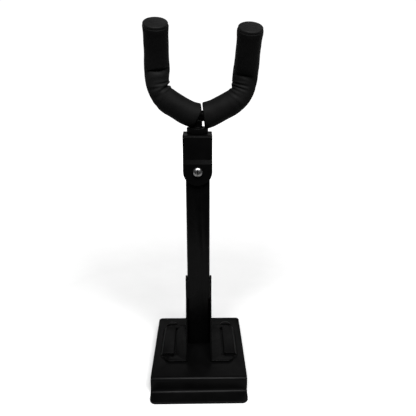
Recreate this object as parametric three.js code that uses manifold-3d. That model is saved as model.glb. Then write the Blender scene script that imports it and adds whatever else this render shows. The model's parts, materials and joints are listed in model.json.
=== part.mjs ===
// Hook-on guitar hanger: a wall plate with a hook lip, a square arm on a welded foot that slides
// under two tabs of the plate, a stirrup head that tilts on a screw at the arm's end, and a padded
// yoke that swivels in the stirrup. Millimetres; +Z runs out of the wall along the arm, -Y is up
// on the wall, and the origin is the centre of the plate's wall face.
import * as THREE from 'three';
import { mergeVertices } from 'three/addons/utils/BufferGeometryUtils.js';
import Module from 'manifold-3d';

const wasm = await Module();
wasm.setup();

// ---- driving dimensions ----------------------------------------------------------------
const GAP = 0.3;               // clearance between neighbouring pieces
const WELD_GAP = 0.15;         // the same where two pieces are welded

// wall plate with its hook
const SHEET = 2;
const PLATE_WIDTH = 82;
const PLATE_BACK = 45.3;       // Y of the lower edge on the wall
const WEB_FRONT = -46.2;       // Y of the hook web's outer face
const LIP_FRONT = -58.9;       // Y of the hook lip's free edge
const HOOK_NOTCH = 11.2;       // height between the wall face and the lip
const BEND = 3;                // outer radius of the bend above the web
const LIP_BEND = 5;            // outer radius of the bend below it
const PLATE_CORNER = 3.5;
const LIP_CORNER = 5;

// tabs and stops pressed out of the plate
const TAB_Y = [-17, 24];
const TAB_FREE_EDGE = 23;      // |X| of the edge over the foot's wing
const TAB_SHOULDER = 32.4;     // |X| where the tab starts to drop to the plate
const TAB_ROOT = 35.2;
const TAB_SHEET = 1.8;
const TAB_BEND = 2;
const STOP_X = 26.4;
const STOP_RADIUS = 6;
const STOP_HEIGHT = 2.8;

// foot: two angle brackets welded to the sides of the arm
const FOOT_SHEET = 1.5;
const WING_EDGE = 31;          // |X| of the wing's outer edge
const WING_Y = [-25.4, 30.5];
const WING_CORNER = 5.5;
const SLOPE_TOP = 51;          // Z where the sloped edge meets the arm's front face
const CHEEK_TOP = 75.5;        // at the arm's front face
const CHEEK_TOP_BACK = 60;
const CHEEK_BACK_EDGE = [4, 20]; // its back edge starts and ends this far above the wing
const CHEEK_CORNERS = [3, 6, 2];
const SLOT_X = 21.9;           // slot with round ends beside each tab
const SLOT_WIDTH = 1.2;
const SLOT_END_RADIUS = 1.5;

// arm
const ARM = 20;
const ARM_WALL = 1.5;
const ARM_CORNER = 1.8;
const ARM_FRONT = 1.6;         // Y of the arm's front face
const PIVOT_Z = 170.2;
const INSERT_LENGTH = 16;      // below the pivot
const INSERT_RECESS = 0.5;     // from the arm's rounded end

// tilting head
const HEAD_WIDTH = 24;
const HEAD_TOP = 199.4;
const JOGGLE = 1.5;            // the leg's lower end stands this much further out
const JOGGLE_Z = [6, 9.6];     // above the pivot
const JOGGLE_BEND = 0.8;
const HEAD_BEND = 2.1;         // outer radius of the bends beside the top
const SCREW_RADIUS = 2;
const SCREW_HOLE = 2.3;
const SCREW_LENGTH = 35;
const SCREW_TIP = 0.5;         // chamfer
// pan head: radius and height above the seat, from the rim to the middle of the crown
const SCREW_HEAD = [[4, 0], [4, 1.35], [3.52, 2.16], [2.48, 2.76], [1.2, 3], [0, 3]];
const SCREW_CROSS = { reach: 2.2, half: 0.5, floor: 1.05 };
const FRICTION_WASHER = { radius: 6, thick: 1.2 };
const PIVOT_WASHER = { radius: 4.5, thick: 0.8 };
const PIVOT_NUT = { acrossFlats: 7, height: 5, crown: 3.5, base: 4.6 }; // crown and base: cone radii

// swivel
const STEM_RADIUS = 4;
const STEM_HOLE = 4.3;
const STEM_BOTTOM = 184.2;
const COLLAR = { radius: 8.85, height: 4.6 };
const NYLON_WASHER = { radius: 8, thick: 1.2 };
const STEEL_WASHER = { radius: 8, thick: 1.6 };
const SWIVEL_NUT = { acrossFlats: 13, height: 7.4 };

// yoke, measured in its own plane from the middle of the head's top face
const YOKE_LEAN = 2.5;         // degrees, the rod is welded on slightly crooked
const YOKE_OFFSET = 1.25;
const ROD_RADIUS = 4;
const VERTEX_Z = 10.4;         // where the two slanted legs would meet
const VERTEX_BEND = 27;
const SLANT = 30.2;            // degrees
const ELBOW_X = 35.1;
const ELBOW_BEND = 26;
const TOE_IN = 0.25;           // degrees
const FOLD_Z = 49.8;           // height of the bend below each tip
const FOLD_BEND = 12;
const TIP_LEAN = 27.5;         // degrees, towards -Y
const TIP_LENGTH = 36.6;       // fold to the top face of the cap
const SLEEVE_RADIUS = 9.6;
// cuts at the sleeves' inner ends: place across the yoke at the rod's height, and tilt in degrees
const LEFT_SLEEVE_CUTS = [{ x: -0.4, tilt: 24.3 }, { x: 1.9, tilt: -6 }];
const RIGHT_SLEEVE_CUTS = [{ x: 3.1, tilt: -8.3 }];
const CAP = { radius: 9.4, thick: 2.2, edge: 0.6, plug: 6 };

// ---- values worked out from them -------------------------------------------------------
const ARM_BACK = ARM_FRONT + ARM;
const ARM_MID_Y = ARM_FRONT + ARM / 2;
const FOOT_Z = SHEET + GAP;
const rad = THREE.MathUtils.degToRad;

// ---- materials -------------------------------------------------------------------------
const coat = (color, roughness, metalness) => new THREE.MeshStandardMaterial({ color, roughness, metalness });
const powder = () => coat(0x141415, 0.42, 0.2);
const zinc = () => coat(0xc4c6c8, 0.3, 1);
const nylon = () => coat(0x1a1a1b, 0.5, 0);
const foam = () => coat(0x1b1b1c, 0.85, 0);
const rubber = () => coat(0x2b2b2c, 0.6, 0);

// ---- solids and booleans ---------------------------------------------------------------
function solid(geometry) {
  const bare = geometry.clone();
  bare.deleteAttribute('normal');
  bare.deleteAttribute('uv');
  const merged = mergeVertices(bare, 1e-4);
  return new wasm.Manifold(new wasm.Mesh({
    numProp: 3,
    vertProperties: Float32Array.from(merged.attributes.position.array),
    triVerts: Uint32Array.from(merged.index.array),
  }));
}

function geometryOf(manifold) {
  const mesh = manifold.getMesh();
  const geometry = new THREE.BufferGeometry();
  geometry.setAttribute('position', new THREE.BufferAttribute(mesh.vertProperties, 3));
  geometry.setIndex(new THREE.BufferAttribute(mesh.triVerts, 1));
  geometry.computeVertexNormals();
  return geometry;
}

function part(name, shape, material) {
  const geometry = shape.isBufferGeometry ? shape : geometryOf(shape);
  const mesh = new THREE.Mesh(geometry, material);
  mesh.name = name;
  return mesh;
}

function box(x, y, z) {
  const geometry = new THREE.BoxGeometry(x[1] - x[0], y[1] - y[0], z[1] - z[0]);
  geometry.translate((x[0] + x[1]) / 2, (y[0] + y[1]) / 2, (z[0] + z[1]) / 2);
  return solid(geometry);
}

// round bar along an axis of the frame, from one height to another
function bar(axis, radius, centre, span, sides = 32) {
  const geometry = new THREE.CylinderGeometry(radius, radius, span[1] - span[0], sides);
  geometry.translate(0, (span[0] + span[1]) / 2, 0);
  if (axis === 'z') {
    geometry.rotateX(Math.PI / 2);
    geometry.translate(centre[0], centre[1], 0);
  } else {
    geometry.translate(centre[0], 0, centre[1]);
  }
  return solid(geometry);
}

function ring(axis, outer, inner, centre, span, sides = 32) {
  const hole = bar(axis, inner, centre, [span[0] - 1, span[1] + 1], sides);
  return bar(axis, outer, centre, span, sides).subtract(hole);
}

// closed outline whose corners are [x, y] or [x, y, radius]
function outline(corners) {
  const shape = new THREE.Shape();
  const count = corners.length;
  corners.forEach((corner, index) => {
    const here = new THREE.Vector2(corner[0], corner[1]);
    const before = new THREE.Vector2(...corners[(index + count - 1) % count].slice(0, 2));
    const after = new THREE.Vector2(...corners[(index + 1) % count].slice(0, 2));
    const back = before.sub(here).normalize();
    const ahead = after.sub(here).normalize();
    const half = Math.acos(THREE.MathUtils.clamp(back.dot(ahead), -1, 1)) / 2;
    const reach = (corner[2] ?? 0) / Math.tan(half);
    const start = here.clone().addScaledVector(back, reach);
    const end = here.clone().addScaledVector(ahead, reach);
    const steps = corner[2] ? 6 : 0;
    const inward = back.clone().add(ahead).normalize();
    const middle = here.clone().addScaledVector(inward, (corner[2] ?? 0) / Math.sin(half));
    if (index === 0) shape.moveTo(start.x, start.y);
    else shape.lineTo(start.x, start.y);
    for (let step = 1; step <= steps; step += 1) {
      const from = Math.atan2(start.y - middle.y, start.x - middle.x);
      const to = Math.atan2(end.y - middle.y, end.x - middle.x);
      const turn = Math.atan2(Math.sin(to - from), Math.cos(to - from));
      const angle = from + (turn * step) / steps;
      shape.lineTo(middle.x + corner[2] * Math.cos(angle), middle.y + corner[2] * Math.sin(angle));
    }
  });
  shape.closePath();
  return shape;
}

// prism of an outline: its plane is named by its two axes, and it runs along the third
function prism(plane, corners, span) {
  const geometry = new THREE.ExtrudeGeometry(outline(corners), {
    depth: span[1] - span[0],
    bevelEnabled: false,
  });
  geometry.translate(0, 0, span[0]);
  if (plane === 'yz') {
    geometry.applyMatrix4(new THREE.Matrix4().set(0, 0, 1, 0, 1, 0, 0, 0, 0, 1, 0, 0, 0, 0, 0, 1));
  }
  if (plane === 'xz') {
    geometry.applyMatrix4(new THREE.Matrix4().set(1, 0, 0, 0, 0, 0, -1, 0, 0, 1, 0, 0, 0, 0, 0, 1));
  }
  return solid(geometry);
}

function hexagon(acrossFlats) {
  const radius = acrossFlats / Math.sqrt(3);
  return Array.from({ length: 6 }, (_, side) => [
    radius * Math.cos(rad(60 * side)),
    radius * Math.sin(rad(60 * side)),
  ]);
}

// ---- wall plate ------------------------------------------------------------------------
function hookPlate() {
  const half = PLATE_WIDTH / 2;
  const lipTop = -HOOK_NOTCH;
  const profile = prism('yz', [
    [PLATE_BACK, SHEET], [WEB_FRONT, SHEET, BEND], [WEB_FRONT, lipTop, LIP_BEND - SHEET],
    [LIP_FRONT, lipTop], [LIP_FRONT, lipTop - SHEET], [WEB_FRONT + SHEET, lipTop - SHEET, LIP_BEND],
    [WEB_FRONT + SHEET, 0, BEND - SHEET], [PLATE_BACK, 0],
  ], [-half, half]);
  const plan = prism('xy', [
    [-half, PLATE_BACK, PLATE_CORNER], [-half, LIP_FRONT, LIP_CORNER],
    [half, LIP_FRONT, LIP_CORNER], [half, PLATE_BACK, PLATE_CORNER],
  ], [-HOOK_NOTCH - SHEET - 1, SHEET + 1]);
  let plate = profile.intersect(plan);
  for (const side of [-1, 1]) {
    plate = plate.subtract(lanceHole(side)).add(tab(side)).add(stop(side));
  }
  return part('hook_plate', plate, powder());
}

function spanOn(side, near, far) {
  return side > 0 ? [near, far] : [-far, -near];
}

// opening that a tab leaves in the plate, under the foot's wing
function lanceHole(side) {
  return box(spanOn(side, TAB_FREE_EDGE + 2 * GAP, WING_EDGE + GAP), TAB_Y, [-1, SHEET + 1]);
}

// strip that rises from the plate and lies over the foot's wing
function tab(side) {
  const under = FOOT_Z + FOOT_SHEET + GAP;
  const top = under + TAB_SHEET;
  const root = WING_EDGE + GAP;
  return prism('xz', [
    [side * (TAB_ROOT + 1), 0], [side * (TAB_ROOT + 1), SHEET], [side * TAB_ROOT, SHEET],
    [side * TAB_SHOULDER, top, TAB_BEND], [side * TAB_FREE_EDGE, top], [side * TAB_FREE_EDGE, under],
    [side * root, under], [side * root, 0],
  ], [-TAB_Y[1], -TAB_Y[0]]);
}

// half-round stop: its flat front faces the wing's back edge, and the rest slopes to the plate
function stop(side) {
  const profile = [];
  for (let step = 0; step <= 8; step += 1) {
    const angle = (Math.PI / 2) * (step / 8);
    profile.push(new THREE.Vector2(STOP_RADIUS * Math.sin(angle), STOP_HEIGHT * Math.cos(angle)));
  }
  profile.push(new THREE.Vector2(STOP_RADIUS, -SHEET / 2), new THREE.Vector2(0, -SHEET / 2));
  const front = WING_Y[1] + GAP;
  const lathe = new THREE.LatheGeometry(profile.reverse(), 32);
  lathe.rotateX(Math.PI / 2);
  lathe.translate(side * STOP_X, front, SHEET);
  return solid(lathe).intersect(box([-PLATE_WIDTH, PLATE_WIDTH], [front, PLATE_BACK], [0, FOOT_Z * 4]));
}

// ---- foot and arm ----------------------------------------------------------------------
function footBracket(side) {
  const inner = ARM / 2 + WELD_GAP;
  const outer = inner + FOOT_SHEET;
  const wingTop = FOOT_Z + FOOT_SHEET;
  const cheek = prism('yz', [
    [WING_Y[0], FOOT_Z], [WING_Y[0], wingTop], [ARM_FRONT, SLOPE_TOP],
    [ARM_FRONT, CHEEK_TOP, CHEEK_CORNERS[0]], [ARM_BACK, CHEEK_TOP_BACK, CHEEK_CORNERS[1]],
    [ARM_BACK, wingTop + CHEEK_BACK_EDGE[1]], [WING_Y[1], wingTop + CHEEK_BACK_EDGE[0], CHEEK_CORNERS[2]],
    [WING_Y[1], FOOT_Z],
  ], spanOn(side, inner, outer));
  const wing = prism('xy', [
    [side * inner, WING_Y[0]], [side * WING_EDGE, WING_Y[0], WING_CORNER],
    [side * WING_EDGE, WING_Y[1], WING_CORNER], [side * inner, WING_Y[1]],
  ], [FOOT_Z, wingTop]);
  const cut = [FOOT_Z - 1, wingTop + 1];
  let slot = box(spanOn(side, SLOT_X - SLOT_WIDTH / 2, SLOT_X + SLOT_WIDTH / 2), TAB_Y, cut);
  for (const y of TAB_Y) {
    slot = slot.add(bar('z', SLOT_END_RADIUS, [side * SLOT_X, y], cut, 16));
  }
  const name = side < 0 ? 'foot_bracket_left' : 'foot_bracket_right';
  return part(name, cheek.add(wing).subtract(slot), powder());
}

function armSection(inset) {
  const half = ARM / 2 - inset;
  const corner = Math.max(ARM_CORNER - inset, 0.4);
  return [
    [-half, ARM_FRONT + inset, corner], [half, ARM_FRONT + inset, corner],
    [half, ARM_BACK - inset, corner], [-half, ARM_BACK - inset, corner],
  ];
}

// everything up to the pivot's height, and a half-round end above it
function roundedEnd(radius, bottom) {
  const depth = [ARM_FRONT - 1, ARM_BACK + 1];
  return box([-ARM, ARM], depth, [bottom, PIVOT_Z]).add(bar('y', radius, [0, PIVOT_Z], depth, 48));
}

function screwBore() {
  return bar('y', SCREW_HOLE, [0, PIVOT_Z], [ARM_FRONT - 1, ARM_BACK + 1], 24);
}

function armTube() {
  const length = [FOOT_Z, PIVOT_Z + ARM];
  const wall = prism('xy', armSection(0), length);
  const hollow = prism('xy', armSection(ARM_WALL), [length[0] - 1, length[1] + 1]);
  const tube = wall.subtract(hollow).intersect(roundedEnd(ARM / 2, 0)).subtract(screwBore());
  return part('arm_tube', tube, powder());
}

function armEndInsert() {
  const bottom = PIVOT_Z - INSERT_LENGTH;
  const block = prism('xy', armSection(ARM_WALL + GAP), [bottom, PIVOT_Z + ARM]);
  const insert = block.intersect(roundedEnd(ARM / 2 - INSERT_RECESS, bottom)).subtract(screwBore());
  return part('arm_end_insert', insert, nylon());
}

// ---- head ------------------------------------------------------------------------------
// distances of the stirrup's inner faces from the arm's faces
const LEG_UPPER = GAP;
const LEG_LOWER = GAP + JOGGLE;

function headBracket() {
  const reach = HEAD_WIDTH / 2;
  const low = PIVOT_Z - reach;
  const step = [PIVOT_Z + JOGGLE_Z[0], PIVOT_Z + JOGGLE_Z[1]];
  const wall = (offset, top, bend) => [
    [ARM_FRONT - offset - JOGGLE, low], [ARM_FRONT - offset - JOGGLE, step[0], JOGGLE_BEND],
    [ARM_FRONT - offset, step[1], JOGGLE_BEND], [ARM_FRONT - offset, top, bend],
    [ARM_BACK + offset, top, bend], [ARM_BACK + offset, step[1], JOGGLE_BEND],
    [ARM_BACK + offset + JOGGLE, step[0], JOGGLE_BEND], [ARM_BACK + offset + JOGGLE, low],
  ];
  const outer = prism('yz', wall(LEG_UPPER + SHEET, HEAD_TOP, HEAD_BEND), [-reach, reach]);
  const lifted = wall(LEG_UPPER, HEAD_TOP - SHEET, JOGGLE_BEND);
  lifted[0][1] -= 1;
  lifted[7][1] -= 1;
  const inner = prism('yz', lifted, [-reach - 1, reach + 1]);
  const depth = [ARM_FRONT - 6, ARM_BACK + 6];
  const roundLegs = box([-reach, reach], depth, [PIVOT_Z, HEAD_TOP + 1])
    .add(bar('y', reach, [0, PIVOT_Z], depth, 48));
  const bore = bar('y', SCREW_HOLE, [0, PIVOT_Z], depth, 24);
  const stemHole = bar('z', STEM_HOLE, [0, ARM_MID_Y], [HEAD_TOP - SHEET - 1, HEAD_TOP + 1], 24);
  const bracket = outer.subtract(inner).intersect(roundLegs).subtract(bore).subtract(stemHole);
  return part('head_bracket', bracket, powder());
}

function screwStack() {
  const frontFace = ARM_FRONT - LEG_LOWER - SHEET;
  const backFace = ARM_BACK + LEG_LOWER + SHEET;
  const seat = frontFace - GAP;
  const washerAt = [backFace + GAP, backFace + GAP + PIVOT_WASHER.thick];
  const nutAt = [washerAt[1] + GAP, washerAt[1] + GAP + PIVOT_NUT.height];
  const slack = (LEG_LOWER - FRICTION_WASHER.thick) / 2;
  const frontPad = [ARM_FRONT - LEG_LOWER + slack, ARM_FRONT - slack];
  const backPad = [ARM_BACK + slack, ARM_BACK + LEG_LOWER - slack];
  const pad = (span) => ring('y', FRICTION_WASHER.radius, SCREW_HOLE, [0, PIVOT_Z], span);
  return [
    part('pivot_screw', pivotScrew(seat), zinc()),
    part('friction_washer_front', pad(frontPad), nylon()),
    part('friction_washer_back', pad(backPad), nylon()),
    part('pivot_washer', ring('y', PIVOT_WASHER.radius, SCREW_HOLE, [0, PIVOT_Z], washerAt), zinc()),
    part('pivot_nut', pivotNut(nutAt), zinc()),
  ];
}

// pan-head screw with a cross recess; the head stands in front of the seat
function pivotScrew(seat) {
  const shank = [
    [0, SCREW_LENGTH], [SCREW_RADIUS - SCREW_TIP, SCREW_LENGTH],
    [SCREW_RADIUS, SCREW_LENGTH - SCREW_TIP], [SCREW_RADIUS, 0],
  ];
  const head = SCREW_HEAD.map(([radius, height]) => [radius, -height]);
  const profile = [...shank, ...head].map(([radius, y]) => new THREE.Vector2(radius, y));
  const lathe = new THREE.LatheGeometry(profile.reverse(), 28);
  lathe.translate(0, seat, PIVOT_Z);
  const recess = [seat - SCREW_LENGTH, seat - SCREW_CROSS.floor];
  const lift = (half) => [PIVOT_Z - half, PIVOT_Z + half];
  const { reach, half } = SCREW_CROSS;
  const cross = box([-reach, reach], recess, lift(half)).add(box([-half, half], recess, lift(reach)));
  return solid(lathe).subtract(cross);
}

function pivotNut(span) {
  const { acrossFlats, crown, base } = PIVOT_NUT;
  const hex = prism('xz', hexagon(acrossFlats), [-span[1], -span[0]]).translate([0, 0, PIVOT_Z]);
  const cone = new THREE.CylinderGeometry(crown, base, span[1] - span[0], 32);
  cone.translate(0, (span[0] + span[1]) / 2, PIVOT_Z);
  const bore = bar('y', SCREW_HOLE, [0, PIVOT_Z], [span[0] - 1, span[1] + 1], 24);
  return hex.intersect(solid(cone)).subtract(bore);
}

// ---- swivel ----------------------------------------------------------------------------
function swivelStack() {
  const centre = [0, ARM_MID_Y];
  const underside = HEAD_TOP - SHEET;
  const nylonAt = [underside - GAP - NYLON_WASHER.thick, underside - GAP];
  const steelAt = [nylonAt[0] - GAP - STEEL_WASHER.thick, nylonAt[0] - GAP];
  const nutTop = steelAt[0] - GAP;
  const collarAt = [HEAD_TOP + GAP, HEAD_TOP + GAP + COLLAR.height];
  return [
    part('swivel_collar', ring('z', COLLAR.radius, STEM_HOLE, centre, collarAt, 40), powder()),
    part('swivel_nylon_washer', ring('z', NYLON_WASHER.radius, STEM_HOLE, centre, nylonAt), nylon()),
    part('swivel_steel_washer', ring('z', STEEL_WASHER.radius, STEM_HOLE, centre, steelAt), zinc()),
    part('swivel_lock_nut', swivelNut(centre, [nutTop - SWIVEL_NUT.height, nutTop]), zinc()),
    part('yoke_stem', bar('z', STEM_RADIUS, centre, [STEM_BOTTOM, stemTop()], 32), powder()),
  ];
}

function swivelNut(centre, span) {
  const hex = prism('xy', hexagon(SWIVEL_NUT.acrossFlats), span).translate([centre[0], centre[1], 0]);
  return hex.subtract(bar('z', STEM_HOLE, centre, [span[0] - 1, span[1] + 1], 24));
}

// height of the rod's centre line at the yoke's middle, above the head
function rodHeight() {
  return VERTEX_Z + VERTEX_BEND * (1 / Math.cos(rad(SLANT)) - 1);
}

// the stem ends just under the lowest point of the rod
function stemTop() {
  return HEAD_TOP + rodHeight() - ROD_RADIUS - GAP;
}

// ---- yoke ------------------------------------------------------------------------------
// one side of the rod's centre line, from the middle of the yoke to the top of the tip
function prongPoints(side) {
  const slant = rad(SLANT);
  const toe = rad(TOE_IN);
  const lean = rad(TIP_LEAN);
  const vertex = new THREE.Vector3(0, 0, VERTEX_Z);
  const elbow = new THREE.Vector3(ELBOW_X, 0, VERTEX_Z + ELBOW_X * Math.tan(slant));
  const upright = new THREE.Vector3(-Math.sin(toe), 0, Math.cos(toe));
  const fold = elbow.clone().addScaledVector(upright, (FOLD_Z - elbow.z) / upright.z);
  const tipWay = new THREE.Vector3(upright.x * Math.cos(lean), -Math.sin(lean), upright.z * Math.cos(lean));
  const tip = fold.clone().addScaledVector(tipWay, TIP_LENGTH);
  const corners = [
    { at: elbow, bend: ELBOW_BEND, steps: 10 },
    { at: fold, bend: FOLD_BEND, steps: 5 },
  ];
  const points = [];
  for (let step = 0; step <= 6; step += 1) {
    const angle = (slant * step) / 6;
    points.push(new THREE.Vector3(VERTEX_BEND * Math.sin(angle), 0,
      rodHeight() + VERTEX_BEND * (1 - Math.cos(angle))));
  }
  const stops = [vertex, elbow, fold, tip];
  corners.forEach((corner, index) => {
    const back = stops[index].clone().sub(corner.at).normalize();
    const ahead = stops[index + 2].clone().sub(corner.at).normalize();
    const half = back.angleTo(ahead) / 2;
    const reach = corner.bend / Math.tan(half);
    const middle = corner.at.clone()
      .addScaledVector(back.clone().add(ahead).normalize(), corner.bend / Math.sin(half));
    const from = corner.at.clone().addScaledVector(back, reach).sub(middle);
    const to = corner.at.clone().addScaledVector(ahead, reach).sub(middle);
    const turn = from.angleTo(to);
    for (let step = 0; step <= corner.steps; step += 1) {
      const share = step / corner.steps;
      const a = Math.sin((1 - share) * turn) / Math.sin(turn);
      const b = Math.sin(share * turn) / Math.sin(turn);
      points.push(middle.clone().addScaledVector(from, a).addScaledVector(to, b));
    }
  });
  points.push(tip);
  return points.map((point) => new THREE.Vector3(point.x * side, point.y, point.z));
}

const SHORTEST_RUN = 0.2;

// curve of straight runs between given points, measured along its length
class PolylineCurve extends THREE.Curve {
  constructor(points) {
    super();
    this.points = points;
    this.marks = [0];
    for (let index = 1; index < points.length; index += 1) {
      this.marks.push(this.marks[index - 1] + points[index].distanceTo(points[index - 1]));
    }
  }

  at(distance) {
    const last = this.points.length - 1;
    let index = 1;
    while (index < last && this.marks[index] < distance) index += 1;
    const share = (distance - this.marks[index - 1]) / (this.marks[index] - this.marks[index - 1]);
    return this.points[index - 1].clone().lerp(this.points[index], share);
  }

  get total() {
    return this.marks[this.marks.length - 1];
  }

  getPoint(share, target = new THREE.Vector3()) {
    return target.copy(this.at(share * this.total));
  }

  // the stretch between two distances, with its own end points
  cut(start, end) {
    const low = start + SHORTEST_RUN;
    const high = end - SHORTEST_RUN;
    const inside = this.points.filter((_, index) => this.marks[index] > low && this.marks[index] < high);
    return new PolylineCurve([this.at(start), ...inside, this.at(end)]);
  }
}

// solid round tube along a curve, with a step of about the given length
function rope(curve, radius, sides, step) {
  const section = new THREE.Shape();
  for (let side = 0; side <= sides; side += 1) {
    const angle = (2 * Math.PI * side) / sides;
    const x = radius * Math.cos(angle);
    const y = radius * Math.sin(angle);
    if (side === 0) section.moveTo(x, y);
    else if (side < sides) section.lineTo(x, y);
  }
  section.closePath();
  const steps = Math.ceil(curve.total / step);
  return solid(new THREE.ExtrudeGeometry(section, { steps, extrudePath: curve }));
}

const YOKE_CURVE = new PolylineCurve([...prongPoints(-1).reverse(), ...prongPoints(1).slice(1)]);
const YOKE_MIDDLE = YOKE_CURVE.total / 2;

function yokeRod() {
  const shortfall = CAP.thick + CAP.plug + 2 * GAP;
  const curve = YOKE_CURVE.cut(shortfall, YOKE_CURVE.total - shortfall);
  return part('yoke_rod', rope(curve, ROD_RADIUS, 16, 3), powder());
}

// block on the side of a cut where the foam is taken away
function cutAway(side, cut) {
  const size = 60;
  const geometry = new THREE.BoxGeometry(size, size, size);
  geometry.translate((-side * size) / 2, 0, 0);
  geometry.rotateY(rad(cut.tilt));
  geometry.translate(cut.x, 0, rodHeight());
  return solid(geometry);
}

function foamSleeve(name, side, cuts) {
  const overrun = 8;
  const tip = CAP.thick + GAP;
  const inner = YOKE_MIDDLE - side * overrun;
  const outer = YOKE_MIDDLE + side * (YOKE_MIDDLE - tip);
  const span = side > 0 ? [inner, outer] : [outer, inner];
  const core = rope(YOKE_CURVE.cut(span[0] - 1, span[1] + 1), ROD_RADIUS + GAP, 16, 3);
  const stemRoom = bar('z', STEM_HOLE, [0, 0], [0, rodHeight()], 24)
    .rotate([0, -YOKE_LEAN, 0])
    .translate([-YOKE_OFFSET, 0, 0]);
  const whole = rope(YOKE_CURVE.cut(...span), SLEEVE_RADIUS, 24, 3).subtract(core).subtract(stemRoom);
  const sleeve = cuts.reduce((left, cut) => left.subtract(cutAway(side, cut)), whole);
  return part(name, sleeve, foam());
}

// end cap: a disc on the sleeve's end with a plug in its bore
function tipCap(name, side) {
  const top = YOKE_CURVE.at(YOKE_MIDDLE + side * YOKE_MIDDLE);
  const axis = top.clone().sub(YOKE_CURVE.at(YOKE_MIDDLE + side * (YOKE_MIDDLE - 5))).normalize();
  const profile = [
    [0, 0], [CAP.radius - CAP.edge, 0], [CAP.radius, -CAP.edge], [CAP.radius, -CAP.thick],
    [ROD_RADIUS, -CAP.thick], [ROD_RADIUS, -CAP.thick - CAP.plug], [0, -CAP.thick - CAP.plug],
  ].map(([radius, y]) => new THREE.Vector2(radius, y));
  const lathe = new THREE.LatheGeometry(profile.reverse(), 32);
  const cap = part(name, geometryOf(solid(lathe)), rubber());
  cap.quaternion.setFromUnitVectors(new THREE.Vector3(0, 1, 0), axis);
  cap.position.copy(top);
  return cap;
}

function paddedYoke() {
  const yoke = new THREE.Group();
  yoke.position.set(0, ARM_MID_Y, HEAD_TOP);
  yoke.rotation.y = rad(YOKE_LEAN);
  const centred = new THREE.Group();
  centred.position.x = YOKE_OFFSET;
  yoke.add(centred);
  centred.add(
    yokeRod(),
    foamSleeve('foam_sleeve_left', -1, LEFT_SLEEVE_CUTS),
    foamSleeve('foam_sleeve_right', 1, RIGHT_SLEEVE_CUTS),
    tipCap('tip_cap_left', -1),
    tipCap('tip_cap_right', 1),
  );
  return yoke;
}

// ---- the whole hanger ------------------------------------------------------------------
const hanger = new THREE.Group();
hanger.add(hookPlate(), footBracket(-1), footBracket(1), armTube(), armEndInsert());
hanger.add(headBracket(), ...screwStack(), ...swivelStack(), paddedYoke());

export default hanger;
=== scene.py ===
import json
import math

import bpy
import numpy as np
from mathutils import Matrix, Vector, noise


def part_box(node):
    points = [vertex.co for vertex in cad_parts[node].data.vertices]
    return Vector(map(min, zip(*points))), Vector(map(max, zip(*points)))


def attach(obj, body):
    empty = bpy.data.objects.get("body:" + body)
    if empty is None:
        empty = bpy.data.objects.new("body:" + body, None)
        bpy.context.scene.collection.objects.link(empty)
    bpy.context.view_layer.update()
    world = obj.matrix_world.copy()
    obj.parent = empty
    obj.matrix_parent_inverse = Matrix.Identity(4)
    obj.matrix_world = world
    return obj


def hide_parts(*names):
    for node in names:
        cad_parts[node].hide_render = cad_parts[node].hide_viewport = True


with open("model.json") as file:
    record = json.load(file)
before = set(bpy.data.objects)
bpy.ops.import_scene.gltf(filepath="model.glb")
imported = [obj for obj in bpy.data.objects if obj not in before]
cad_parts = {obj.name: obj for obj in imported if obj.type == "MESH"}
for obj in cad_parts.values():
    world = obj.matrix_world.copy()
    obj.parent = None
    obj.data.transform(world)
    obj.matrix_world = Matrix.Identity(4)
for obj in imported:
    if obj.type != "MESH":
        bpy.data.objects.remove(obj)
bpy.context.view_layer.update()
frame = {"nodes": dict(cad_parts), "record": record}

MM = 0.001

# ---- yoke dimensions, mm and degrees, the same as the CAD part's ------------------------
YOKE_LEAN = 2.5
YOKE_OFFSET = 1.25
ROD_RADIUS = 4.0
VERTEX_Z = 10.4
VERTEX_BEND = 27.0
SLANT = 30.2
ELBOW_X = 35.1
ELBOW_BEND = 26.0
TOE_IN = 0.25
FOLD_Z = 49.8
FOLD_BEND = 12.0
TIP_LEAN = 27.5
TIP_LENGTH = 36.6
SLEEVE_RADIUS = 9.6
CAP_THICK = 2.2


# ---- positions read from the frame, mm ---------------------------------------------------
def box_mm(node):
    """Lowest and highest corner of a CAD node."""
    low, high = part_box(node)
    return np.array(low) / MM, np.array(high) / MM


STIRRUP = box_mm("head_bracket")
ARM = box_mm("arm_tube")
COLLAR = box_mm("swivel_collar")
STEM = box_mm("yoke_stem")
CHEEK = box_mm("foot_bracket_right")
LIP = box_mm("hook_plate")
HEAD_TOP = STIRRUP[1][2]
MID_Y = (ARM[0][1] + ARM[1][1]) / 2


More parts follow.
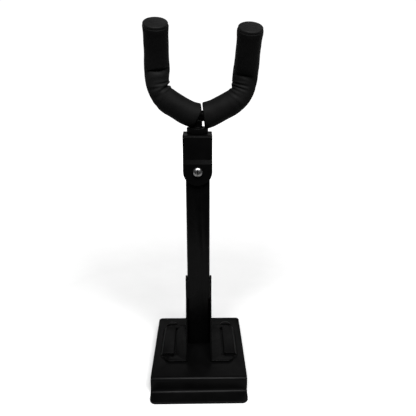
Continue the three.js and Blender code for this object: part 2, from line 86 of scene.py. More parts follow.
# ---- materials ---------------------------------------------------------------------------
# Noise and cell scales are per metre, and bump heights are in metres.
class Nodes:
    """Small helper for building one procedural material."""

    def __init__(self, name):
        self.material = bpy.data.materials.new(name)
        self.material.use_nodes = True
        self.tree = self.material.node_tree
        self.shader = self.tree.nodes["Principled BSDF"]
        self.coords = self.add("ShaderNodeTexCoord").outputs["Object"]

    def add(self, kind, **values):
        node = self.tree.nodes.new(kind)
        for key, value in values.items():
            setattr(node, key, value)
        return node

    def link(self, source, target):
        self.tree.links.new(source, target)

    def noise(self, scale, detail=2.0, roughness=0.5, stretch=None):
        node = self.add("ShaderNodeTexNoise")
        node.inputs["Scale"].default_value = scale
        node.inputs["Detail"].default_value = detail
        node.inputs["Roughness"].default_value = roughness
        coords = self.coords
        if stretch:
            mapping = self.add("ShaderNodeMapping")
            mapping.inputs["Scale"].default_value = stretch
            self.link(coords, mapping.inputs["Vector"])
            coords = mapping.outputs["Vector"]
        self.link(coords, node.inputs["Vector"])
        return node.outputs["Fac"]

    def cells(self, scale):
        node = self.add("ShaderNodeTexVoronoi", feature="F1")
        node.inputs["Scale"].default_value = scale
        self.link(self.coords, node.inputs["Vector"])
        return node.outputs["Distance"]

    def distance(self, place):
        """Distance in metres from a place on the object."""
        node = self.add("ShaderNodeVectorMath", operation="DISTANCE")
        self.link(self.coords, node.inputs[0])
        node.inputs[1].default_value = place
        return node.outputs["Value"]

    def remap(self, source, low, high, to_low, to_high):
        node = self.add("ShaderNodeMapRange")
        for key, value in zip(("From Min", "From Max", "To Min", "To Max"), (low, high, to_low, to_high)):
            node.inputs[key].default_value = value
        self.link(source, node.inputs["Value"])
        return node.outputs["Result"]

    def math(self, operation, first, second):
        node = self.add("ShaderNodeMath", operation=operation)
        for socket, value in zip(node.inputs, (first, second)):
            if isinstance(value, (int, float)):
                socket.default_value = value
            else:
                self.link(value, socket)
        return node.outputs["Value"]

    def blend(self, factor, first, second):
        node = self.add("ShaderNodeMix", data_type="RGBA")
        colours = [s for s in node.inputs if s.type == "RGBA"]
        for socket, value in zip(colours, (first, second)):
            if isinstance(value, tuple):
                socket.default_value = (*value, 1)
            else:
                self.link(value, socket)
        self.link(factor, node.inputs["Factor"])
        return [s for s in node.outputs if s.type == "RGBA"][0]

    def bump(self, layers):
        """Stacks bump layers, each (height, distance in metres)."""
        normal = None
        for height, distance in layers:
            node = self.add("ShaderNodeBump")
            node.inputs["Distance"].default_value = distance
            node.inputs["Strength"].default_value = 1.0
            self.link(height, node.inputs["Height"])
            if normal:
                self.link(normal, node.inputs["Normal"])
            normal = node.outputs["Normal"]
        self.link(normal, self.shader.inputs["Normal"])

    def edge_wear(self):
        """1 on outer edges, 0 on flat and hollow places."""
        geometry = self.add("ShaderNodeNewGeometry")
        return self.remap(geometry.outputs["Pointiness"], 0.53, 0.6, 0.0, 1.0)

    def set(self, **values):
        for key, value in values.items():
            self.shader.inputs[key.replace("_", " ")].default_value = value


NEUTRAL = (1.0, 1.0, 1.0)
COLD = (1.0, 1.0, 1.01)
COLDER = (1.0, 1.0, 1.02)
WARM = (1.0, 0.985, 0.95)
BLACK = (0.0, 0.0, 0.0)


def shade(tone, factor=1.0, tint=NEUTRAL):
    """Colour of a tone times a factor, with a slight tint."""
    return tuple(tone * c * factor for c in tint)


def powder_coat(name, tone, roughness, specular):
    """Powder coat with a fine orange-peel skin, cloudy patches and small worn spots on edges."""
    m = Nodes(name)
    peel = m.noise(900, 2.0)
    grain = m.noise(5200, 2.0)
    patch = m.noise(55, 3.0, 0.6)
    clouds = m.remap(patch, 0.35, 0.65, 0.0, 1.0)
    body = m.blend(clouds, shade(tone, 0.8, COLDER), shade(tone, 1.25, COLDER))
    spots = m.remap(m.noise(1400, 3.0, 0.7), 0.56, 0.66, 0.0, 1.0)
    wear = m.math("MULTIPLY", m.edge_wear(), spots)
    m.link(m.blend(wear, body, shade(tone, 3.5)), m.shader.inputs["Base Color"])
    m.link(m.remap(m.noise(160, 3.0, 0.6), 0.3, 0.7, roughness - 0.05, roughness + 0.06),
           m.shader.inputs["Roughness"])
    m.bump([(peel, 0.000035), (grain, 0.000006)])
    m.set(Specular_IOR_Level=specular)
    return m.material


def zinc(name, tone, roughness):
    """Zinc plate with turned streaks and dull stains."""
    m = Nodes(name)
    swirl = m.noise(700, 3.0, 0.6, stretch=(1.0, 5.0, 1.0))
    stain = m.noise(260, 4.0, 0.65)
    stains = m.remap(stain, 0.45, 0.68, 0.0, 1.0)
    m.link(m.blend(stains, shade(tone, tint=COLD), shade(tone, 0.72, WARM)), m.shader.inputs["Base Color"])
    m.link(m.remap(swirl, 0.3, 0.7, roughness - 0.06, roughness + 0.1), m.shader.inputs["Roughness"])
    m.bump([(swirl, 0.00001), (m.noise(3200, 2.0), 0.000004)])
    m.set(Metallic=1.0)
    return m.material


def moulded(name, tone, roughness, specular, texture):
    """Moulded nylon or rubber with a fine mould texture of the given height."""
    m = Nodes(name)
    patch = m.noise(120, 4.0, 0.6)
    clouds = m.remap(patch, 0.35, 0.65, 0.0, 1.0)
    m.link(m.blend(clouds, shade(tone, 0.82, COLD), shade(tone, 1.18, COLD)), m.shader.inputs["Base Color"])
    m.link(m.remap(m.noise(400, 3.0), 0.3, 0.7, roughness - 0.06, roughness + 0.06),
           m.shader.inputs["Roughness"])
    m.bump([(m.noise(2600, 3.0), texture), (m.noise(420, 2.0), texture * 2)])
    m.set(Specular_IOR_Level=specular)
    return m.material


def foam(name, tone, roughness, specular, painted_light_spots=()):
    """Foam skin. Each painted light spot is (place in metres, reach, strength): a painted highlight,
    or painted shade where the strength is negative, which fades out at its reach."""
    m = Nodes(name)
    cells = m.cells(2600)
    patch = m.noise(70, 4.0, 0.65)
    rub = m.noise(380, 3.0, 0.7)
    # pale colour shared by the random scuffs and the painted highlights
    scuff_and_highlight_colour = shade(tone, 1.8)
    body = m.blend(m.remap(patch, 0.35, 0.65, 0.0, 1.0), shade(tone, 0.82), shade(tone, 1.2))
    scuffs = m.remap(rub, 0.6, 0.72, 0.0, 0.5)
    skin = m.blend(scuffs, body, scuff_and_highlight_colour)
    # painted light spots: a painted highlight, or painted shade where the strength is negative
    for place, reach, strength in painted_light_spots:
        spot = m.remap(m.distance(place), reach, reach * 0.3, 0.0, abs(strength))
        skin = m.blend(spot, skin, scuff_and_highlight_colour if strength > 0 else BLACK)
    m.link(skin, m.shader.inputs["Base Color"])
    m.link(m.remap(patch, 0.3, 0.7, roughness - 0.05, roughness + 0.05), m.shader.inputs["Roughness"])
    m.bump([(m.noise(600, 3.0, 0.6), 0.00008), (cells, 0.00003)])
    m.set(Specular_IOR_Level=specular)
    return m.material


FOAM_LOOK = (0.0026, 0.6, 0.02)  # tone, roughness, specular level
PLATE_COAT = powder_coat("plate_powder_coat", 0.0011, 0.33, 0.032)
ARM_COAT = powder_coat("arm_powder_coat", 0.0007, 0.31, 0.049)
BRACKET_COAT = powder_coat("bracket_powder_coat", 0.0007, 0.31, 0.037)
HEAD_COAT = powder_coat("head_powder_coat", 0.0010, 0.33, 0.012)
ZINC = zinc("bright_zinc", 0.17, 0.3)
NYLON = moulded("black_nylon", 0.002, 0.45, 0.06, 0.00001)
FOAM = foam("sleeve_foam", *FOAM_LOOK)
RUBBER = moulded("cap_rubber", 0.0040, 0.5, 0.035, 0.00002)
FINISHES = {
    "plate_coat": PLATE_COAT,
    "arm_coat": ARM_COAT,
    "head_coat": HEAD_COAT,
    "bright_zinc": ZINC,
    "black_nylon": NYLON,
    "sleeve_foam": FOAM,
    "cap_rubber": RUBBER,
}


# ---- CAD nodes: finish, rounded edges, smooth shading --------------------------------------
OTHER_EDGES = 0.15
EDGE_RADIUS = {  # mm
    "hook_plate": 0.35,
    "foot_bracket_left": 0.4,
    "foot_bracket_right": 0.4,
    "arm_tube": 0.25,
    "head_bracket": 0.35,
    "swivel_collar": 0.5,
    "pivot_nut": 0.2,
    "swivel_lock_nut": 0.3,
    "tip_cap_left": 0.3,
    "tip_cap_right": 0.3,
}


def dress(node, finish, edge):
    """Gives a CAD node its finish, and rounds its edges with modifiers."""
    obj = frame["nodes"][node]
    obj.data.materials.clear()
    obj.data.materials.append(finish)
    for polygon in obj.data.polygons:
        polygon.use_smooth = True
        polygon.material_index = 0
    weld = obj.modifiers.new("weld", "WELD")
    weld.merge_threshold = 1e-5
    flat = obj.modifiers.new("flat", "DECIMATE")
    flat.decimate_type = "DISSOLVE"
    flat.angle_limit = math.radians(0.5)
    bevel = obj.modifiers.new("edges", "BEVEL")
    bevel.width = edge * MM
    bevel.segments = 3
    bevel.limit_method = "ANGLE"
    bevel.angle_limit = math.radians(32)
    bevel.harden_normals = True
    bevel.use_clamp_overlap = True


for row in frame["record"]["subparts"]:
    coat = BRACKET_COAT if "bracket_" in row["node"] else FINISHES[row["material_slot"]]
    dress(row["node"], coat, EDGE_RADIUS.get(row["node"], OTHER_EDGES))


# ---- meshes from rings ---------------------------------------------------------------------
def new_piece(name, vertices_mm, faces, finish, body):
    """Smooth mesh piece that rides on a CAD body."""
    mesh = bpy.data.meshes.new(name)
    mesh.from_pydata([tuple(v) for v in np.asarray(vertices_mm) * MM], [], faces)
    mesh.validate()
    mesh.update()
    for polygon in mesh.polygons:
        polygon.use_smooth = True
    mesh.materials.append(finish)
    obj = bpy.data.objects.new(name, mesh)
    bpy.context.scene.collection.objects.link(obj)
    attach(obj, body)
    return obj


def ring_faces(rings, sides, closed):
    """Quads between successive rings, and between the last and the first if closed."""
    faces = []
    for ring in range(rings if closed else rings - 1):
        here = ring * sides
        there = ((ring + 1) % rings) * sides
        for side in range(sides):
            after = (side + 1) % sides
            faces.append((here + side, here + after, there + after, there + side))
    return faces


# ---- the yoke's centre line ------------------------------------------------------------------
def turned(start, inward, bend, angle, share):
    """Point and directions after a share of an arc that starts at start[0] along start[1]."""
    point, tangent = start
    a = angle * share
    centre = point + inward * bend
    return (centre - inward * bend * math.cos(a) + tangent * bend * math.sin(a),
            tangent * math.cos(a) + inward * math.sin(a),
            inward * math.cos(a) - tangent * math.sin(a))


class Prong:
    """Centre line of one side of the yoke, from its middle to the top of the tip."""

    def __init__(self, side):
        slant, toe, lean = (math.radians(v) for v in (SLANT, TOE_IN, TIP_LEAN))
        start = VERTEX_Z + VERTEX_BEND * (1 / math.cos(slant) - 1)
        turn = math.pi / 2 + toe - slant
        reach = [VERTEX_BEND * math.tan(slant), ELBOW_BEND * math.tan(turn / 2),
                 FOLD_BEND * math.tan(lean / 2)]
        elbow_z = VERTEX_Z + ELBOW_X * math.tan(slant)
        self.side = side
        self.start = np.array([0.0, 0.0, start])
        # (length, bend radius, turn, way of the turn)
        self.runs = [
            (VERTEX_BEND * slant, VERTEX_BEND, slant, "inner"),
            (ELBOW_X / math.cos(slant) - reach[0] - reach[1], 0, 0, ""),
            (ELBOW_BEND * turn, ELBOW_BEND, turn, "inner"),
            ((FOLD_Z - elbow_z) / math.cos(toe) - reach[1] - reach[2], 0, 0, ""),
            (FOLD_BEND * lean, FOLD_BEND, lean, "front"),
            (TIP_LENGTH - reach[2], 0, 0, ""),
        ]
        self.marks = np.concatenate([[0], np.cumsum([run[0] for run in self.runs])])
        self.total = self.marks[-1]
        self.elbow = (self.marks[2] + self.marks[3]) / 2
        self.elbow_span = (self.marks[2], self.marks[3])
        self.fold = (self.marks[4] + self.marks[5]) / 2

    def at(self, distance):
        """Centre, inner way and front way at a distance along the line."""
        point = self.start
        ways = {"inner": np.array([0.0, 0.0, 1.0]), "front": np.array([0.0, -1.0, 0.0])}
        tangent = np.array([1.0, 0.0, 0.0])
        left = distance
        for length, bend, turn, way in self.runs:
            step = min(left, length) if length != self.runs[-1][0] else left
            share = step / length
            if way:
                point, tangent, ways[way] = turned((point, tangent), ways[way], bend, turn, share)
            else:
                point = point + tangent * step
            left -= step
            if left <= 0:
                break
        mirror = np.array([self.side, 1.0, 1.0])
        return point * mirror, ways["inner"] * mirror, ways["front"] * mirror, tangent * mirror


LEAN = math.radians(YOKE_LEAN)
LEAN_TURN = np.array([
    [math.cos(LEAN), 0.0, math.sin(LEAN)],
    [0.0, 1.0, 0.0],
    [-math.sin(LEAN), 0.0, math.cos(LEAN)],
])
YOKE_FOOT = np.array([0.0, MID_Y, HEAD_TOP])


def placed(points):
    """From the yoke's own plane to the frame, in mm."""
    moved = np.asarray(points) + np.array([YOKE_OFFSET, 0.0, 0.0])
    return moved @ LEAN_TURN.T + YOKE_FOOT


# ---- foam sleeves ---------------------------------------------------------------------------
# Distances run along the prong's centre line in mm, and turns run round it in degrees, from the
# yoke's inner side towards its front. Slopes are in mm per 90 degrees.
RINGS = 250
SIDES = 120
BORE = ROD_RADIUS + 0.12
NECK_ROUND = 1.3
TIP_ROUND = 0.3
CAP_GAP = 0.08
TIP_SLIMMER = 0.12
UNEVEN = ((0.16, 9.0), (0.07, 3.2))  # height and size of the skin's lumps
LINE_STEP = 0.1
LINE_BEFORE = -8.0                   # the line is carried on straight past the yoke's middle
END_SEARCH = (-6.0, 24.0)            # distances between which a sleeve's end is looked for
STEM_CLEARANCE = 0.25


def crease(distance, turn, spec):
    """Crease with a raised lip on both sides: (distance, way round, half spread, depth,
    half width, slope)."""
    at, way, spread, depth, width, slope = spec
    away = (turn - way + 180) % 360 - 180
    fade = np.clip(np.cos(np.clip(away / spread, -1, 1) * math.pi / 2), 0, 1) ** 1.2
    offset = (distance - at - slope * away / 90) / width
    valley = np.exp(-offset ** 2)
    lips = np.exp(-(np.abs(offset) - 2.1) ** 2)
    return fade * depth * (0.45 * lips - valley)


def fold(distance, turn, spec):
    """Valley where the foam is folded: (distance, way round, half spread, depth, width below,
    width above, slope, rise of its front)."""
    at, way, spread, depth, below, above, slope, rise = spec
    away = (turn - way + 180) % 360 - 180
    fade = np.cos(np.clip(away / spread, -1, 1) * math.pi / 2)
    offset = distance - at - slope * away / 90 - rise * np.cos(np.radians(away))
    width = np.where(offset < 0, below, above)
    return -fade * depth * np.exp(-(np.abs(offset) / width) ** 1.6)


def soft_noise(points, size, seed):
    """Smooth noise at each point, for a given size of lump in mm."""
    shift = Vector((seed * 13.7, seed * 5.1, seed * 9.3))
    return np.array([noise.noise(Vector(p) / size + shift) for p in points])


def swelling(distance, turn, spec):
    """Smooth swelling: (distance, reach, way round, half spread, height)."""
    at, reach, way, spread, height = spec
    away = (turn - way + 180) % 360 - 180
    fade = np.cos(np.clip(away / spread, -1, 1) * math.pi / 2) ** 2
    return height * fade * np.exp(-((distance - at) / reach) ** 2)


def elbow_corner(prong, distance, turn):
    """How far the foam on the elbow's inner side stands out, as a corner instead of an arc."""
    low, high = prong.elbow_span
    half = (high - low) / 2 / ELBOW_BEND
    inside = np.clip(np.abs(distance - prong.elbow) / ELBOW_BEND, 0, half)
    inner_arc = ELBOW_BEND - SLEEVE_RADIUS
    corner = ELBOW_BEND - inner_arc / np.cos(half - inside) - SLEEVE_RADIUS
    around = np.clip(np.cos(np.radians(turn)), 0, 1)
    return corner * around ** 1.5


def sleeve_radius(prong, distance, turn, shape):
    """Radius of the skin at each distance and turn."""
    radius = np.full_like(distance, SLEEVE_RADIUS)
    radius += shape["corner"] * elbow_corner(prong, distance, turn)
    for spec in shape["swellings"]:
        radius += swelling(distance, turn, spec)
    for spec in shape["creases"]:
        radius += crease(distance, turn, spec)
    radius += fold(distance, turn, shape["fold"])
    # above the fold the sleeve is slightly slimmer and faceted, and swells towards its end
    upper = 1 / (1 + np.exp(-(distance - prong.fold - 3) / 1.5))
    radius -= TIP_SLIMMER * upper
    from_end = prong.total - distance
    for reach, width, swell in shape["tip"]:
        radius += swell * np.exp(-((from_end - reach) / width) ** 2)
    for count, phase, depth in shape["facets"]:
        radius += upper * depth * np.cos(np.radians(count * turn + phase))
    return radius


def end_distance(prong, turn, radius, end):
    """Distance along the line at which the surface meets the sleeve's end plane."""
    x, tilt = end
    normal = np.array([math.cos(math.radians(tilt)), 0.0, -math.sin(math.radians(tilt))])
    on_plane = np.array([x, 0.0, prong.start[2]])
    low, high = END_SEARCH
    for _ in range(26):
        middle = (low + high) / 2
        centre, inner, front, along = prong.at(max(middle, 0.0))
        centre = centre + along * min(middle, 0.0)
        point = centre + radius * (math.cos(turn) * inner + math.sin(turn) * front)
        if (point - on_plane) @ normal * prong.side > 0:
            high = middle
        else:
            low = middle
    return high


def pushed_off_stem(vertices):
    """Moves the points that would touch the stem out to its clearance."""
    stem = np.array([(STEM[0][0] + STEM[1][0]) / 2, (STEM[0][1] + STEM[1][1]) / 2])
    stem_room = (STEM[1][0] - STEM[0][0]) / 2 + STEM_CLEARANCE
    low = vertices[:, 2] < STEM[1][2] + 0.3
    away = vertices[:, :2] - stem
    reach = np.linalg.norm(away, axis=1)
    near = low & (reach < stem_room)
    vertices[near, :2] = stem + away[near] / reach[near][:, None] * stem_room
    return vertices


def foam_sleeve(name, prong, cuts, shape, seed, finish):
    """Sleeve round one prong. Each cut at its inner end is (place across the yoke, tilt)."""
    turns = np.arange(SIDES) * 360 / SIDES
    ones = np.ones(SIDES)
    top = prong.total - CAP_THICK - CAP_GAP
    table = np.arange(LINE_BEFORE, prong.total + 1, LINE_STEP)
    lines = [prong.at(max(d, 0.0)) for d in table]
    base = np.array([line[0] + line[3] * min(d, 0.0) for line, d in zip(lines, table)])
    ways = [np.array([line[k] for line in lines]) for k in (1, 2)]

    def point(distance, turn, radius):
        spot = [np.array([np.interp(distance, table, source[:, k]) for k in range(3)]).T
                for source in (base, *ways)]
        angle = np.radians(turn)[:, None]
        return spot[0] + radius[:, None] * (np.cos(angle) * spot[1] + np.sin(angle) * spot[2])

    # where the outer skin, the end face and the bore each start, at every turn
    starts = {}
    for radius in (SLEEVE_RADIUS, SLEEVE_RADIUS - NECK_ROUND, BORE):
        starts[radius] = np.max([[end_distance(prong, math.radians(t), radius, cut) for t in turns]
                                 for cut in cuts], axis=0)
    rings = []
    shares = np.linspace(0, 1, RINGS)
    for share in shares:
        distance = starts[SLEEVE_RADIUS] * (1 - share) + top * share
        radius = sleeve_radius(prong, distance, turns, shape)
        from_start = distance - starts[SLEEVE_RADIUS]
        for gap, rounding in ((from_start, NECK_ROUND), (top - distance, TIP_ROUND)):
            inside = np.clip(1 - gap / rounding, 0, 1)
            radius = radius - rounding * (1 - np.sqrt(1 - inside ** 2))
        rings.append(point(distance, turns, radius))
    skin = np.array(rings)
    flat = skin.reshape(-1, 3)
    lumps = sum(height * soft_noise(flat, size, seed + k) for k, (height, size) in enumerate(UNEVEN))
    centres = np.array([point(starts[SLEEVE_RADIUS] * (1 - s) + top * s, turns, 0 * ones)
                        for s in shares]).reshape(-1, 3)
    outward = flat - centres
    outward /= np.linalg.norm(outward, axis=1)[:, None]
    skin = (flat + outward * lumps[:, None]).reshape(RINGS, SIDES, 3)
    # flat inner end, bore, and the end under the cap
    middle_radius = (SLEEVE_RADIUS - NECK_ROUND + BORE) / 2
    middle_start = (starts[SLEEVE_RADIUS - NECK_ROUND] + starts[BORE]) / 2
    closing = [
        point(ones * top, turns, ones * (SLEEVE_RADIUS - TIP_ROUND - 2)),
        point(ones * top, turns, ones * (BORE + 0.4)),
        point(ones * (top - 0.4), turns, ones * BORE),
    ]
    for share in np.linspace(1, 0, 60)[1:-1]:
        closing.append(point(starts[BORE] * (1 - share) + top * share, turns, ones * BORE))
    closing += [
        point(starts[BORE] + 0.3, turns, ones * BORE),
        point(starts[BORE], turns, ones * (BORE + 0.3)),
        point(middle_start, turns, ones * middle_radius),
    ]
    vertices = pushed_off_stem(placed(np.concatenate([*skin, *closing])))
    faces = ring_faces(RINGS + len(closing), SIDES, True)
    if prong.side > 0:
        faces = [face[::-1] for face in faces]
    return new_piece(name, vertices, faces, finish, "yoke")


left_prong = Prong(-1)
right_prong = Prong(1)
ELBOW_AT = left_prong.elbow
FOLD_AT = left_prong.fold
# corner: how far the elbow's inner corner stands out, 1 for a sharp one
# tip: swellings near the end, each (distance from the end, width, height)
# facets: flats above the fold, each (how many round, turn of the first, depth)
LEFT_SHAPE = {
    "corner": 0.8,
    "fold": (FOLD_AT - 1.5, 90, 92, 2.9, 4.6, 1.4, -3.0, 3.1),
    "creases": [
        (ELBOW_AT + 1.4, 10, 105, 1.5, 1.1, -1.8),
        (ELBOW_AT + 5.0, 60, 55, 0.45, 0.9, 1.0),
        (ELBOW_AT + 3.2, 110, 60, 0.4, 0.8, 1.5),
        (ELBOW_AT - 2.5, 120, 60, 0.5, 1.2, -1.0),
        (ELBOW_AT - 6.0, 150, 50, 0.35, 1.2, -2.0),
        (ELBOW_AT + 3.0, 300, 70, 0.6, 1.2, -1.5),
        (ELBOW_AT - 4.5, 320, 50, 0.4, 1.2, 1.5),
    ],
    "swellings": [
        (9, 8, 0, 100, 0.45), (14, 12, 180, 100, 0.7), (5, 5, 180, 100, 0.5),
        (29, 7, 180, 100, 0.8), (39, 12, 180, 100, 0.15),
        (56, 7, 0, 100, 0.6), (59, 7, 180, 90, 0.5), (51, 4, 90, 80, 1.6),
    ],
    "tip": [(3.0, 3.5, 0.3)],
    "facets": [(5, 20, 0.08), (9, 70, 0.04)],
}
RIGHT_SHAPE = {
    "corner": 0.45,
    "fold": (FOLD_AT - 5.6, 90, 98, 1.9, 1.4, 3.2, -4.2, 2.9),
    "creases": [
        (ELBOW_AT + 1.2, 10, 80, 0.4, 1.2, 0.8),
        (ELBOW_AT + 4.2, 50, 72, 0.7, 0.85, 1.0),
        (ELBOW_AT + 7.2, 50, 72, 0.75, 0.85, 0.6),
        (ELBOW_AT - 3.0, 50, 60, 0.4, 1.2, 1.6),
        (ELBOW_AT + 2.0, 310, 70, 0.6, 1.2, -1.0),
        (ELBOW_AT - 7.0, 130, 45, 0.5, 1.3, -2.5),
    ],
    "swellings": [
        (7, 9, 0, 100, 0.9), (20, 9, 0, 100, 0.6), (30, 6, 0, 60, 0.4),
        (5, 6, 180, 100, 1.3), (42, 13, 180, 100, 0.3),
        (51, 9, 0, 110, 0.7), (60, 7, 180, 90, 0.5), (50, 5, 90, 80, 0.4),
    ],
    "tip": [(4.5, 3.2, 0.3)],
    "facets": [(5, 110, 0.07), (8, 10, 0.04)],
}
LEFT_CUTS = [(-0.4, 24.3), (1.9, -6.0)]
RIGHT_CUTS = [(3.1, -8.3)]


def on_front(prong, distance):
    """Place on the sleeve's front, in metres, at a distance along the line."""
    centre, _, front, _ = prong.at(distance)
    return tuple(placed([centre + SLEEVE_RADIUS * front])[0] * MM)


# The foam's painted light: a painted highlight just below the left sleeve's fold; on the right sleeve,
# painted shade at the fold and a painted highlight further down.
LEFT_FOAM = foam("sleeve_foam_left", *FOAM_LOOK, [
    (on_front(left_prong, FOLD_AT - 7), 0.019, 1.0),
])
RIGHT_FOAM = foam("sleeve_foam_right", *FOAM_LOOK, [
    (on_front(right_prong, FOLD_AT - 5), 0.010, -0.75),
    (on_front(right_prong, FOLD_AT - 15), 0.013, 0.8),
])
sleeve_left = foam_sleeve("foam_sleeve_left_soft", left_prong, LEFT_CUTS, LEFT_SHAPE, 1, LEFT_FOAM)
sleeve_right = foam_sleeve("foam_sleeve_right_soft", right_prong, RIGHT_CUTS, RIGHT_SHAPE, 2, RIGHT_FOAM)
for sleeve, node in ((sleeve_left, "foam_sleeve_left"), (sleeve_right, "foam_sleeve_right")):
    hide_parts(node)


# ---- weld beads ----------------------------------------------------------------------------------
WELD_STEP = 0.3
WELD_SIDES = 14
RIPPLE_HEIGHT = 0.1  # share of the bead's radius
RIPPLE_LENGTH = 1.5
LUMP_HEIGHT = 0.16
END_TAPER = 1.2      # times the bead's radius


def bead_line(path, closed):
    """Even steps along a path: the distances, the points, and two ways across at each."""
    path = np.asarray(path, float)
    if closed:
        path = np.vstack([path, path[:1]])
    marks = np.concatenate([[0], np.cumsum(np.linalg.norm(np.diff(path, axis=0), axis=1))])
    stops = np.linspace(0, marks[-1], int(marks[-1] / WELD_STEP), endpoint=not closed)
    line = np.array([[np.interp(stop, marks, path[:, k]) for k in range(3)] for stop in stops])
    ahead = np.roll(line, -1, axis=0) - np.roll(line, 1, axis=0)
    if not closed:
        ahead[0], ahead[-1] = line[1] - line[0], line[-1] - line[-2]
    ahead /= np.linalg.norm(ahead, axis=1)[:, None]
    across = [0.13, 0.21, 0.97] if abs(ahead[0][2]) < 0.7 else [1.0, 0.1, 0.0]
    side_way = np.cross(ahead, np.array(across))
    side_way /= np.linalg.norm(side_way, axis=1)[:, None]
    return stops, line, side_way, np.cross(side_way, ahead)


def weld_bead(name, path, thick, body, finish, closed=False, seed=0):
    """Rippled bead of a given radius along a path of points in mm."""
    stops, line, side_way, up_way = bead_line(path, closed)
    vertices = []
    for index, stop in enumerate(stops):
        wave = stop * math.pi / RIPPLE_LENGTH + 0.3 * math.sin(stop * 0.7 + seed)
        ripple = RIPPLE_HEIGHT * abs(math.sin(wave))
        lump = LUMP_HEIGHT * noise.noise(Vector((stop * 0.45, seed * 3.7, 0.5)))
        taper = 1.0
        if not closed:
            ends = min(stop, stops[-1] - stop) / (thick * END_TAPER)
            taper = math.sqrt(max(1 - (1 - min(ends, 1)) ** 2, 0.02))
        radius = thick * (1 + ripple + lump) * taper
        for side in range(WELD_SIDES):
            angle = 2 * math.pi * side / WELD_SIDES
            across = math.cos(angle) * side_way[index] + math.sin(angle) * up_way[index]
            vertices.append(line[index] + radius * across)
    faces = ring_faces(len(stops), WELD_SIDES, closed)
    if not closed:
        faces.append(tuple(range(WELD_SIDES - 1, -1, -1)))
        faces.append(tuple(range((len(stops) - 1) * WELD_SIDES, len(stops) * WELD_SIDES)))
    return new_piece(name, vertices, faces, finish, body)


ARM_WELD_RADIUS = 1.05
WELD_SINK = (0.55, 0.5)  # the bead's line from the cheek's inner side and from the arm's face
FRONT_WELD_Z = (50.0, CHEEK[1][2] - 2.5)
BACK_WELD_Z = (26.0, 56.0)


def arm_weld(name, x, y, heights, seed):
    """Upright bead in the corner between a cheek and the arm."""
    path = [(x, y, height) for height in heights]
    weld_bead(name, path, ARM_WELD_RADIUS, "arm", ARM_COAT, seed=seed)


for side, name in ((-1, "left"), (1, "right")):
    edge = side * (CHEEK[0][0] - WELD_SINK[0])
    arm_weld(f"weld_front_{name}", edge, ARM[0][1] + WELD_SINK[1], FRONT_WELD_Z, side + 3)
    arm_weld(f"weld_back_{name}", edge, ARM[1][1] - WELD_SINK[1], BACK_WELD_Z, side + 7)



def stem_weld(name, x, height, thick, seed):
    """Bead round the stem, at a height given for each turn."""
    radius = (STEM[1][0] - STEM[0][0]) / 2
    path = [(x + radius * math.cos(a), MID_Y + radius * math.sin(a), height(a))
            for a in np.radians(np.arange(0, 360, 5))]
    weld_bead(name, path, thick, "yoke", HEAD_COAT, closed=True, seed=seed)


ROD_FOOT = placed([[-YOKE_OFFSET, 0.0, left_prong.start[2]]])[0]
stem_weld("weld_stem_foot", 0.0, lambda a: COLLAR[1][2] + 0.1, 0.8, 11)
stem_weld("weld_stem_rod", ROD_FOOT[0],
          lambda a: ROD_FOOT[2] - ROD_RADIUS * max(abs(math.cos(a)), 0.35), 0.75, 12)


# ---- floor, light and camera -------------------------------------------------------------------
FLOOR_Z = LIP[0][2] * MM - 0.0002
FLOOR_HALF = 6.0
GLOW = (0.22, 1.0)       # the floor's glow starts and is full at these distances
WHITE_STRENGTH = 1.05
FLAG_AT = 0.42
FLAG_TOP = 0.12
FRONT_FLAG_Y = -0.25
FRONT_FLAG_TOP = 0.18


def stage_sheet(name, corners, material):
    """Flat four-cornered stage piece."""
    mesh = bpy.data.meshes.new(name)
    mesh.from_pydata(corners, [], [(0, 1, 2, 3)])
    mesh.materials.append(material)
    obj = bpy.data.objects.new(name, mesh)
    bpy.context.scene.collection.objects.link(obj)
    return obj


def floor():
    """Pale sheet that glows away from the object, so that it runs into the white behind it."""
    m = Nodes("pale_floor")
    speckle = m.noise(40, 3.0)
    m.link(m.blend(speckle, (0.50, 0.50, 0.50), (0.53, 0.53, 0.53)), m.shader.inputs["Base Color"])
    m.set(Roughness=0.9, Specular_IOR_Level=0.1, Emission_Color=(1, 1, 1, 1))
    length = m.add("ShaderNodeVectorMath", operation="LENGTH")
    m.link(m.coords, length.inputs[0])
    glow = m.remap(length.outputs["Value"], *GLOW, 0.0, WHITE_STRENGTH)
    m.link(glow, m.shader.inputs["Emission Strength"])
    corners = [(x * FLOOR_HALF, y * FLOOR_HALF, FLOOR_Z) for x, y in ((-1, -1), (1, -1), (1, 1), (-1, 1))]
    sheet = stage_sheet("floor", corners, m.material)
    sheet.visible_diffuse = False


def flag(name, x, y, top):
    """Upright black card between two places on the floor, which only shows in reflections."""
    corners = [(x[0], y[0], FLOOR_Z), (x[1], y[1], FLOOR_Z), (x[1], y[1], top), (x[0], y[0], top)]
    m = Nodes(name)
    m.set(Base_Color=(0, 0, 0, 1), Specular_IOR_Level=0.0)
    card = stage_sheet(name, corners, m.material)
    card.visible_camera = False
    card.visible_diffuse = False
    card.visible_shadow = False


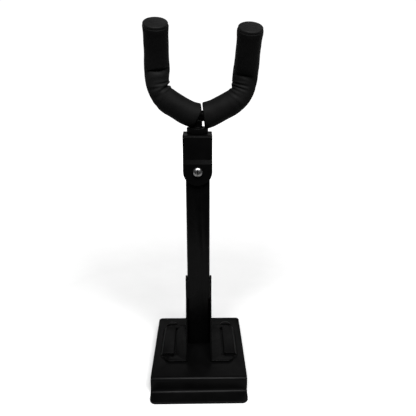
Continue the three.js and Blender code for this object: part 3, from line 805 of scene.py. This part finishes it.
def softbox(name, place, aim, size, radiance):
    """Rectangular area light of a given brightness, aimed at a point."""
    data = bpy.data.lights.new(name, "AREA")
    data.shape = "RECTANGLE"
    data.size, data.size_y = size
    data.energy = radiance * math.pi * size[0] * size[1]
    obj = bpy.data.objects.new(name, data)
    obj.location = place
    obj.rotation_mode = "QUATERNION"
    obj.rotation_quaternion = (Vector(aim) - Vector(place)).to_track_quat("-Z", "Y")
    obj.visible_camera = False
    bpy.context.scene.collection.objects.link(obj)


def surroundings():
    """White behind everything; the object is lit by the softboxes and the floor."""
    world = bpy.data.worlds.new("studio")
    bpy.context.scene.world = world
    world.use_nodes = True
    background = world.node_tree.nodes["Background"]
    background.inputs["Color"].default_value = (1, 1, 1, 1)
    background.inputs["Strength"].default_value = WHITE_STRENGTH
    world.cycles_visibility.diffuse = False
    world.cycles_visibility.glossy = False


floor()
surroundings()
softbox("key_softbox", (0.10, -0.74, 1.17), (0.0, 0.0, 0.18), (1.3, 0.7), 22.0)
softbox("back_card", (0.0, 0.95, 0.70), (0.0, 0.0, 0.0), (1.4, 0.55), 1.0)
flag("flag_front", (-FLAG_AT, FLAG_AT), (FRONT_FLAG_Y, FRONT_FLAG_Y), FRONT_FLAG_TOP)
flag("flag_back", (-FLAG_AT, FLAG_AT), (FLAG_AT, FLAG_AT), FLAG_TOP)
flag("flag_left", (-FLAG_AT, -FLAG_AT), (-FLAG_AT, FLAG_AT), FLAG_TOP)
flag("flag_right", (FLAG_AT, FLAG_AT), (-FLAG_AT, FLAG_AT), FLAG_TOP)

SENSOR = 36
FOCAL_PIXELS = 440
IMAGE_PIXELS = 416
CAMERA_PLACE = (0.0024, -0.3518, 0.2580)
CAMERA_PITCH = 18.8  # degrees down
CAMERA_YAW = -0.99
camera_data = bpy.data.cameras.new("camera")
camera_data.sensor_width = SENSOR
camera_data.lens = SENSOR * FOCAL_PIXELS / IMAGE_PIXELS
camera = bpy.data.objects.new("camera", camera_data)
camera.location = CAMERA_PLACE
camera.rotation_euler = (math.radians(90 - CAMERA_PITCH), 0.0, math.radians(CAMERA_YAW))
bpy.context.scene.collection.objects.link(camera)
bpy.context.scene.camera = camera
bpy.context.scene.view_settings.view_transform = "Standard"
